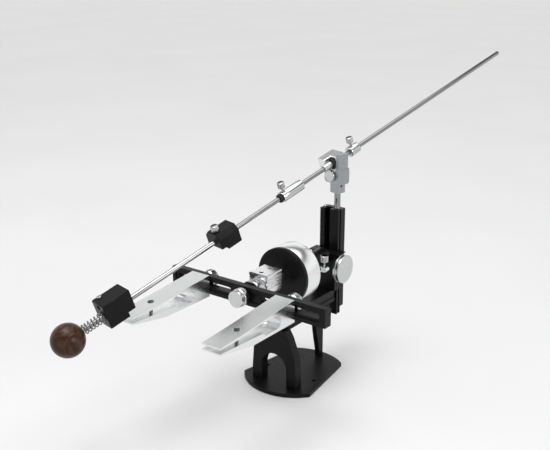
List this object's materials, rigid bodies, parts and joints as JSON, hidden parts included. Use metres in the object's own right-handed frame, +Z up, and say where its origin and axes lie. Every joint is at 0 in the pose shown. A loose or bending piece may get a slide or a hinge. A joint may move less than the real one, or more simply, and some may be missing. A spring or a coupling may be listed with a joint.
{
  "type": "guided knife sharpening jig",
  "caption": "Guided-rod sharpening jig: arched pedestal, rotary drum with a clamp bar and flexure clamps, geared post, and a hinged guide rod with stone holders.",
  "frame": {"origin": "centre of the base plate's underside", "axes": "+Z up, -Y the front where the clamps point, +X the right side with the lift knob"},
  "size_m": [0.225, 0.7037, 0.3794],
  "materials": {
    "black_coat": "matt black powder coat",
    "black_anodised": "black anodised, satin",
    "bright_aluminium": "bright machined and brushed",
    "chrome": "polished",
    "steel": "ground steel",
    "dark_steel": "black oxide",
    "rubber": "matt",
    "walnut": "dark stained and lacquered"
  },
  "bodies": {
    "base": {"base_plate": "black_coat", "pedestal": "black_coat", "pedestal_screw_front_left": "dark_steel", "pedestal_screw_front_right": "dark_steel", "pedestal_screw_rear": "dark_steel", "beam": "black_anodised", "bracket_screw": "dark_steel", "post_bracket": "black_anodised", "drum_housing": "bright_aluminium", "spindle_tube": "black_anodised", "front_bearing": "steel", "rear_bearing": "steel", "brake_lug": "bright_aluminium", "brake_lug_screw": "dark_steel"},
    "brake_screw": {"brake_screw": "chrome"},
    "rotor": {"drum_flange": "black_anodised", "rotary_shaft": "steel", "retaining_ring": "dark_steel", "shaft_block": "bright_aluminium", "shaft_block_screw_front": "dark_steel", "shaft_block_screw_rear": "dark_steel", "shaft_boss": "chrome", "clamp_bar": "black_anodised"},
    "centre_knob": {"centre_knob": "bright_aluminium"},
    "left_clamp": {"left_clamp": "bright_aluminium", "left_clamp_stud": "steel"},
    "left_clamp_knob": {"left_clamp_knob": "chrome"},
    "left_jaw_screw": {"left_jaw_screw": "steel"},
    "right_clamp": {"right_clamp": "bright_aluminium", "right_clamp_stud": "steel"},
    "right_clamp_knob": {"right_clamp_knob": "chrome"},
    "right_jaw_screw": {"right_jaw_screw": "steel"},
    "post": {"post": "black_anodised", "post_top_screw": "chrome", "rack": "steel", "upright_rod": "chrome"},
    "lift_drive": {"pinion_shaft": "steel", "lift_knob": "bright_aluminium"},
    "hinge": {"hinge_stem": "bright_aluminium", "hinge_set_screw": "dark_steel", "hinge_yoke": "bright_aluminium", "pivot_pin": "chrome"},
    "hinge_knob": {"hinge_knob": "bright_aluminium"},
    "hinge_side_knob": {"hinge_side_knob": "steel"},
    "pivot": {"pivot_block": "bright_aluminium", "rod_bush": "bright_aluminium", "pivot_seal": "rubber"},
    "rod": {"guide_rod": "chrome", "ball_handle": "walnut", "holder_spring": "steel"},
    "front_holder": {"front_holder": "black_anodised", "front_holder_screw": "chrome"},
    "rear_holder": {"rear_holder": "black_anodised"},
    "rear_holder_screw": {"rear_holder_screw": "chrome"},
    "front_stop": {"front_stop": "chrome", "front_stop_set_screw": "dark_steel", "front_stop_bumper": "rubber"},
    "front_stop_screw": {"front_stop_screw": "chrome"},
    "rear_stop": {"rear_stop": "chrome"},
    "rear_stop_screw": {"rear_stop_screw": "chrome"}
  },
  "joints": [
    {"name": "bar_rotation", "type": "hinge", "parent": "base", "child": "rotor", "pos_m": [0, 0, 0.144], "axis": [0, -1, 0], "range_deg": [0, 90]},
    {"name": "brake_screw_turn", "type": "hinge", "parent": "base", "child": "brake_screw", "pos_m": [0.0182, 0.0375, 0.147], "axis": [0, 0, 1], "continuous": true},
    {"name": "centre_knob_turn", "type": "hinge", "parent": "rotor", "child": "centre_knob", "pos_m": [0, -0.11, 0.144], "axis": [0, -1, 0], "continuous": true},
    {"name": "left_clamp_slide", "type": "slide", "parent": "rotor", "child": "left_clamp", "axis": [1, 0, 0], "range_m": [-0.033, 0.035]},
    {"name": "left_clamp_knob_turn", "type": "hinge", "parent": "left_clamp", "child": "left_clamp_knob", "pos_m": [-0.066, -0.085, 0.144], "axis": [0, 1, 0], "continuous": true},
    {"name": "left_jaw_screw_turn", "type": "hinge", "parent": "left_clamp", "child": "left_jaw_screw", "pos_m": [-0.066, -0.1885, 0.144], "axis": [0, 0, 1], "continuous": true},
    {"name": "right_clamp_slide", "type": "slide", "parent": "rotor", "child": "right_clamp", "axis": [1, 0, 0], "range_m": [-0.031, 0.04]},
    {"name": "right_clamp_knob_turn", "type": "hinge", "parent": "right_clamp", "child": "right_clamp_knob", "pos_m": [0.0586, -0.085, 0.144], "axis": [0, 1, 0], "continuous": true},
    {"name": "right_jaw_screw_turn", "type": "hinge", "parent": "right_clamp", "child": "right_jaw_screw", "pos_m": [0.0586, -0.1885, 0.144], "axis": [0, 0, 1], "continuous": true},
    {"name": "post_lift", "type": "slide", "parent": "base", "child": "post", "axis": [0, 0, 1], "range_m": [0, 0.035]},
    {"name": "lift_knob_turn", "type": "hinge", "parent": "base", "child": "lift_drive", "pos_m": [0, 0.0722, 0.1284], "axis": [1, 0, 0], "range_deg": [-10, 320]},
    {"name": "rod_yaw", "type": "hinge", "parent": "post", "child": "hinge", "pos_m": [0.008, 0.081, 0.27], "axis": [0, 0, 1], "range_deg": [-15, 40]},
    {"name": "hinge_knob_turn", "type": "hinge", "parent": "hinge", "child": "hinge_knob", "pos_m": [0.00457, 0.0664, 0.251], "axis": [-0.2289, -0.9734, 0], "continuous": true},
    {"name": "hinge_side_knob_turn", "type": "hinge", "parent": "hinge", "child": "hinge_side_knob", "pos_m": [-0.00855, 0.08489, 0.2442], "axis": [-0.9734, 0.2289, 0], "continuous": true},
    {"name": "rod_pitch", "type": "hinge", "parent": "hinge", "child": "pivot", "pos_m": [0.008, 0.081, 0.27], "axis": [-0.9734, 0.2289, 0], "range_deg": [0, 40]},
    {"name": "rod_slide", "type": "slide", "parent": "pivot", "child": "rod", "axis": [0.2168, 0.9218, 0.3214], "range_m": [-0.0065, 0.036]},
    {"name": "front_holder_slide", "type": "slide", "parent": "rod", "child": "front_holder", "axis": [0.2168, 0.9218, 0.3214], "range_m": [-0.012, 0], "stiffness_N_per_m": 400, "springref_m": 0.003, "deforming": ["holder_spring"]},
    {"name": "rear_holder_slide", "type": "slide", "parent": "rod", "child": "rear_holder", "axis": [0.2168, 0.9218, 0.3214], "range_m": [-0.095, 0.07]},
    {"name": "rear_holder_screw_turn", "type": "hinge", "parent": "rear_holder", "child": "rear_holder_screw", "pos_m": [-0.03668, -0.10897, 0.2196], "axis": [-0.0736, -0.3129, 0.9469], "continuous": true},
    {"name": "front_stop_slide", "type": "slide", "parent": "rod", "child": "front_stop", "axis": [0.2168, 0.9218, 0.3214], "range_m": [-0.07, 0]},
    {"name": "front_stop_screw_turn", "type": "hinge", "parent": "front_stop", "child": "front_stop_screw", "pos_m": [-0.01381, -0.01172, 0.25351], "axis": [-0.0736, -0.3129, 0.9469], "continuous": true},
    {"name": "rear_stop_slide", "type": "slide", "parent": "rod", "child": "rear_stop", "axis": [0.2168, 0.9218, 0.3214], "range_m": [0, 0.28]},
    {"name": "rear_stop_screw_turn", "type": "hinge", "parent": "rear_stop", "child": "rear_stop_screw", "pos_m": [0.01232, 0.09935, 0.29224], "axis": [-0.0736, -0.3129, 0.9469], "continuous": true}
  ],
  "couplings": [
    {"joint": "lift_knob_turn", "follows": "post_lift", "rad_per_m": 153.85}
  ]
}
